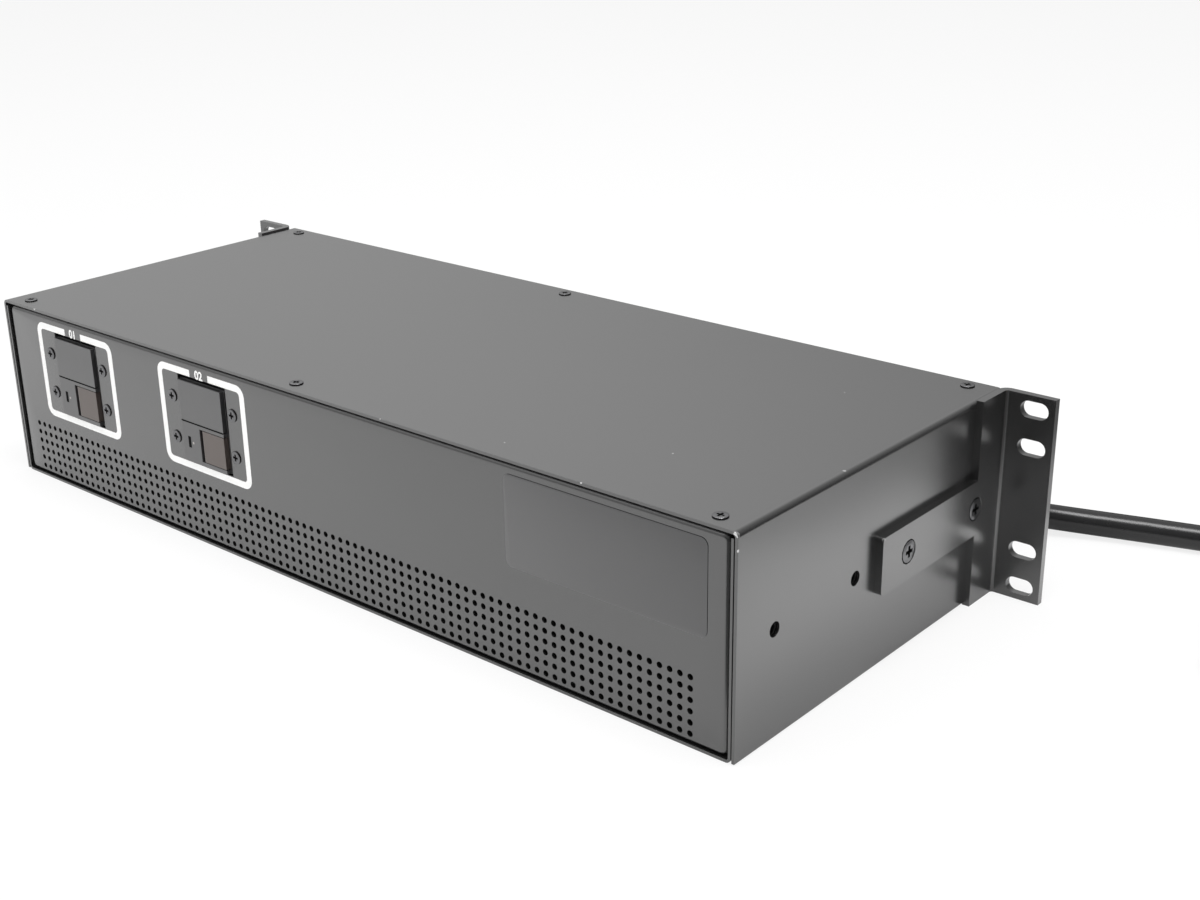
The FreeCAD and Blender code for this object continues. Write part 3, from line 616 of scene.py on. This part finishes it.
def makeScrew(kind):
    shape = screwShapes[kind]
    head, rings = shape["head"], shape["rings"]
    piece = turned(kind + "_screw", [(along, head + past) for along, past in rings], 32)
    proud = rings[-1][0]
    arm, half, seat = head * cross["arm"], head * cross["half"], proud - shape["deep"]
    for wide, high in ((arm, half), (half, arm)):
        cutter = startBlock("recess", metres(-wide, seat, -high), metres(wide, 1, high))
        edit(cutter)
        pick("FACE", lambda f: f.normal.y < -0.9)
        bpy.ops.transform.resize(value=(0.5, 1, 0.5), center_override=metres(0, seat, 0))
        objectMode()
        carve(piece, cutter)
    piece.data.materials.append(finishes["blackSteel"])
    # painted shade: the second finish, near-black, goes on the faces where the head's gap and the cross
    # recess hold shadow
    piece.data.materials.append(finishes["recessShade"])
    edit(piece)

    # painted shade: the wall or seat round the head and the cross take the near-black finish in place of
    # their shadow
    def shaded(face):  # the wall or seat round the head, and the cross
        spot = middle(face)
        away = math.hypot(spot.x, spot.z) / mm
        rim = away > cross["rim"] * head and (abs(face.normal.y) < 0.2 or away > head)
        sunk = spot.y < (proud - 0.05) * mm and face.normal.y > -0.9
        return rim or (sunk and away < cross["reach"] * head)

    pick("FACE", shaded)
    bpy.context.object.active_material_index = 1
    bpy.ops.object.material_slot_assign()
    objectMode()
    return piece


def placeScrews(pattern, name, spots, turn):
    placed = []
    for count, spot in enumerate(spots, start=1):
        screw = twin(pattern, "%s_%d" % (name, count), Matrix.Translation(spot) @ turn)
        placed.append(done(screw, "blackSteel"))
    return placed


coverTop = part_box("cover")[1].z
smallScrew = makeScrew("small")
coverScrews = {"x": (-204.6, -9.8, 204.6), "front": -81.8, "back": 83}
lidSpots = [
    metres(x, y, 0) + Vector((0, 0, coverTop)) for x in coverScrews["x"]
    for y in (coverScrews["front"], coverScrews["back"])]
placeScrews(smallScrew, "cover_screw", lidSpots, Matrix.Rotation(quarter, 4, "X"))
breakerScrews = {"across": 20.75, "up": 9.55}
panelSpots = [
    spot + metres(i * breakerScrews["across"], 0, j * breakerScrews["up"]) for spot in breakerSpots
    for i in (-1, 1) for j in (-1, 1)]
placeScrews(smallScrew, "breaker_screw", panelSpots, Matrix.Rotation(2 * quarter, 4, "Z"))
bpy.data.objects.remove(smallScrew)
earScrews = {"near": 16, "far": 66.8, "up": 43.3}
largeScrew = makeScrew("large")
earLow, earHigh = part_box("ear_screws")
for side, name, turn in ((earHigh.x, "right", -quarter), (earLow.x, "left", quarter)):
    spots = [metres(0, earScrews[where], earScrews["up"]) + Vector((side, 0, 0)) for where in ("near", "far")]
    for screw in placeScrews(largeScrew, "ear_screw_" + name, spots, Matrix.Rotation(turn, 4, "Z")):
        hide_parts("ear_screws")
bpy.data.objects.remove(largeScrew)
print("screws placed")

# Printed frames round the breakers, their numbers, and the bare label film
printShape = {
    "wide": 59.8, "high": 46.9, "stroke": 3.15, "corner": 5, "gap": 12.6, "gapShift": -0.4, "thick": 0.05,
    "up": 0.65, "letter": 5.4, "bold": 0.03}
markShape = {
    "up": 47.8, "bar": (-10, 0, 0), "barWide": 1.9, "barHigh": 5.2, "dot": (-7.5, 0, 0), "dotRadius": 0.55,
    "seamShadeWide": 29, "seamShadeHigh": 0.7}
filmShape = {
    "left": 112, "right": 204.5, "low": 44.1, "high": 81.2, "corner": 3, "thick": 0.16, "ease": 0.04,
    "rim": 0.2}


def roundedPlate(name, spot, wide, high, corner):
    plate = startPlate(name, spot, wide * mm, high * mm)
    edit(plate)
    bpy.ops.mesh.select_all(action="SELECT")
    bpy.ops.mesh.bevel(offset=corner * mm, segments=8, affect="VERTICES")
    return plate


def thicken(plate, thick):
    modify(plate, "SOLIDIFY", thickness=thick * mm, offset=0)


def layPrint(plate, finish):
    thicken(plate, printShape["thick"])
    done(plate, finish)


for number, spot in enumerate(breakerSpots, start=1):
    middleSpot = spot + metres(0, 0, printShape["up"])
    ring = roundedPlate(
        "printed_frame_%d" % number, middleSpot, printShape["wide"], printShape["high"], printShape["corner"])
    pick("FACE", lambda f: True)
    bpy.ops.mesh.inset(thickness=printShape["stroke"] * mm)
    bpy.ops.mesh.delete(type="FACE")
    for side in (-0.5, 0.5):
        bpy.ops.mesh.select_all(action="SELECT")
        cut = middleSpot + metres(side * printShape["gap"] + printShape["gapShift"], 0, 0)
        bpy.ops.mesh.bisect(plane_co=cut, plane_no=(1, 0, 0))
    reach = printShape["gap"] / 2 * mm
    pick("FACE", lambda f: abs(middle(f).x - middleSpot.x) < reach and middle(f).z > middleSpot.z)
    bpy.ops.mesh.delete(type="FACE")
    layPrint(ring, "whitePrint")
    objectMode()
    strokeUp = (printShape["high"] - printShape["stroke"]) / 2
    topStroke = middleSpot + metres(printShape["gapShift"], 0, strokeUp)
    bpy.ops.object.text_add(location=topStroke, rotation=facing)
    text = bpy.context.object
    text.name = "printed_number_%d" % number
    text.data.body = "%02d" % number
    text.data.size = printShape["letter"] * mm
    text.data.align_x = "CENTER"
    text.data.align_y = "CENTER"
    text.data.offset = printShape["bold"] * printShape["letter"] * mm
    bpy.ops.object.convert(target="MESH")
    digits = bpy.context.object
    bpy.ops.object.transform_apply(location=True, rotation=True, scale=True)
    layPrint(digits, "whitePrint")
    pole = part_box("breaker_%d_switch_pole" % number)[0].y
    markSpot = Vector((spot.x, pole, 0)) + metres(0, 0, markShape["up"])
    # a near-black bar over the mark slot, wider than the slot: partly the black mark, partly painted shade of
    # the slot
    barSpot = markSpot + metres(*markShape["bar"])
    bar = startPlate(
        "switch_mark_shade_%d" % number, barSpot, markShape["barWide"] * mm, markShape["barHigh"] * mm)
    layPrint(bar, "recessShade")
    seamSpot = Vector((spot.x, pole, spot.z))  # where the two poles meet
    # painted shade: a near-black strip laid on the pole faces along the narrow gap between the two poles, in
    # place of the gap's shadow
    seam = startPlate(
        "pole_seam_shade_%d" % number, seamSpot, markShape["seamShadeWide"] * mm, markShape["seamShadeHigh"] * mm)
    layPrint(seam, "recessShade")
    dot = start(
        "switch_dot_%d" % number, bpy.ops.mesh.primitive_circle_add, vertices=20, fill_type="NGON",
        radius=markShape["dotRadius"] * mm, location=markSpot + metres(*markShape["dot"]), rotation=facing)
    layPrint(dot, "fadedPrint")

filmMiddle = metres(
    (filmShape["left"] + filmShape["right"]) / 2, 0, (filmShape["low"] + filmShape["high"]) / 2)
filmMiddle.y = panelFace
filmSize = (filmShape["right"] - filmShape["left"], filmShape["high"] - filmShape["low"], filmShape["corner"])
film = roundedPlate("label_film", filmMiddle, *filmSize)
thicken(film, filmShape["thick"])
soften(film, filmShape["ease"])
done(film, "labelFilm")
rim = roundedPlate("label_edge_shadow", filmMiddle + metres(filmShape["rim"], 0, filmShape["rim"]), *filmSize)
thicken(rim, filmShape["thick"] / 2)  # painted shadow: a near-black plate that shows as a dark line at the film's top and right edges
done(rim, "recessShade")
print("print and label film laid")

# Bushing and plug, turned about the cord's line
bushingShape = {"x": 185, "z": 16.5, "sides": 40}
bushingRings = [  # along Y and radius
    (75.4, 9.4), (76.6, 10.5), (88.4, 10.5), (88.4, 12.6), (88.9, 13), (90.8, 13), (91.4, 12.4), (91.5, 10.2),
    (93, 9.4), (93.2, 8.6), (94.4, 8.2), (94.6, 8.6), (96, 7.4), (96.4, 6.6)]
plugShape = {"x": 464.4, "z": 25, "sides": 48}
plugRings = [
    (50, 7), (49.3, 8.4), (44, 11.4), (39.4, 12), (38.3, 12.8), (37.9, 18.4), (36.8, 19.9), (33, 21), (9, 21),
    (8.4, 21.6), (7.6, 24.2), (6.8, 25), (-6.8, 25), (-7.7, 24.5), (-8, 23.6)]
plugRibs = {"every": 6, "wide": 3, "inset": 0.45, "proud": 0.9, "low": 10, "high": 32}
bushing = turned("cord_bushing", bushingRings, bushingShape["sides"])
bushing.location = metres(bushingShape["x"], 0, bushingShape["z"])
done(bushing, "bushingNylon")
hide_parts("strain_relief")

plug = turned("locking_plug", plugRings, plugShape["sides"])
edit(plug)


def onRib(face):
    spot = middle(face)
    turn = int(math.degrees(math.atan2(spot.z, spot.x)) % 360 / 360 * plugShape["sides"])
    grip = plugRibs["low"] * mm < spot.y < plugRibs["high"] * mm and abs(face.normal.y) < 0.1
    return grip and turn % plugRibs["every"] < plugRibs["wide"]


pick("FACE", onRib)
bpy.ops.mesh.inset(thickness=plugRibs["inset"] * mm, depth=plugRibs["proud"] * mm)
objectMode()
plug.location = metres(plugShape["x"], 0, plugShape["z"])
done(plug, "plugRubber")
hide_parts("plug_body")

# Straps that hold the coil
strapShape = {
    "inner": 49.4, "outer": 83.7, "low": 1.2, "high": 24.1, "wide": 14, "round": 5, "thick": 1.05,
    "ease": 0.25, "angles": (215, 330)}
coilMiddle = metres(cordShape["coilX"], cordShape["coilY"], 0)
band = startBlock(
    "coil_strap", coilMiddle + metres(strapShape["inner"], -strapShape["wide"] / 2, strapShape["low"]),
    coilMiddle + metres(strapShape["outer"], strapShape["wide"] / 2, strapShape["high"]))
edit(band)
pick("FACE", lambda f: abs(f.normal.y) > 0.9)
bpy.ops.mesh.delete(type="FACE")
pick("EDGE", lambda e: abs(e.verts[0].co.y - e.verts[1].co.y) > mm)
bpy.ops.mesh.bevel(offset=strapShape["round"] * mm, segments=5, affect="EDGES")
outwards(band)
modify(band, "SOLIDIFY", thickness=strapShape["thick"] * mm, offset=1)
soften(band, strapShape["ease"])
straps = []
for number, angle in enumerate(strapShape["angles"], start=1):
    turn = Matrix.Translation(coilMiddle) @ Matrix.Rotation(math.radians(angle), 4, "Z")
    strap = twin(band, "coil_strap_%d" % number, turn @ Matrix.Translation(-coilMiddle))
    straps.append(done(strap, "strapWeave"))
bpy.data.objects.remove(band)
print("bushing, plug and straps made")

# Finishes and eased edges on the solids that stay as they are
nodeLooks = {  # the start of a node's name: its finish and the width of its eased edges in mm
    "cover": ("chippedCoat", 0.2), "base_tray": ("powderCoat", 0.2), "outlet_panel": ("powderCoat", 0.2),
    "rack_ear_left": ("powderCoat", 0.3), "rack_ear_right": ("chippedCoat", 0.3),
    "breaker_1_blank": ("breakerPlastic", 0.35), "breaker_2_blank": ("breakerPlastic", 0.35),
    "breaker_1_switch": ("breakerPlastic", 0.35), "breaker_2_switch": ("breakerPlastic", 0.35),
    "breaker_1_rocker": ("rockerPlastic", 0.4), "breaker_2_rocker": ("rockerPlastic", 0.4),
    "outlet_small": ("outletPlastic", 0.35), "outlet_large": ("outletPlastic", 0.35),
    "outlet_board": ("boardLaminate", 0),
    "terminal_block": ("blockPlastic", 0.4), "earth_stud": ("bareSteel", 0),
    "plug_blade": ("bladeBrass", 0.25), "input_wires": ("wireInsulation", 0),
    "feed_wires": ("wireInsulation", 0), "bank_": ("wireInsulation", 0)}


edgeEase = {"flat": 0.5, "sharp": 40, "segments": 2}  # degrees that still count as flat, or as an edge


def easeNode(node, width):
    choose(node)
    bpy.ops.object.shade_smooth()
    weld = node.modifiers.new("weld", "WELD")
    weld.merge_threshold = weldGap
    flat = node.modifiers.new("flat", "DECIMATE")
    flat.decimate_type = "DISSOLVE"
    flat.angle_limit = math.radians(edgeEase["flat"])
    bevel = node.modifiers.new("eased", "BEVEL")
    bevel.width = width * mm
    bevel.segments = edgeEase["segments"]
    bevel.limit_method = "ANGLE"
    bevel.angle_limit = math.radians(edgeEase["sharp"])
    level = node.modifiers.new("level", "WEIGHTED_NORMAL")
    level.weight = 100


for name, node in nodes.items():
    for prefix, (finish, width) in nodeLooks.items():
        if name.startswith(prefix):
            node.data.materials.clear()
            node.data.materials.append(finishes[finish])
            if width:
                easeNode(node, width)
print("solids finished")

[bushing, plug, *straps] + [nodes["plug_blade_%d" % i] for i in (1, 2, 3)]

for piece in [supplyCord, plug, *straps]:  # the coil keeps out of the paint's shine
    piece.visible_glossy = False
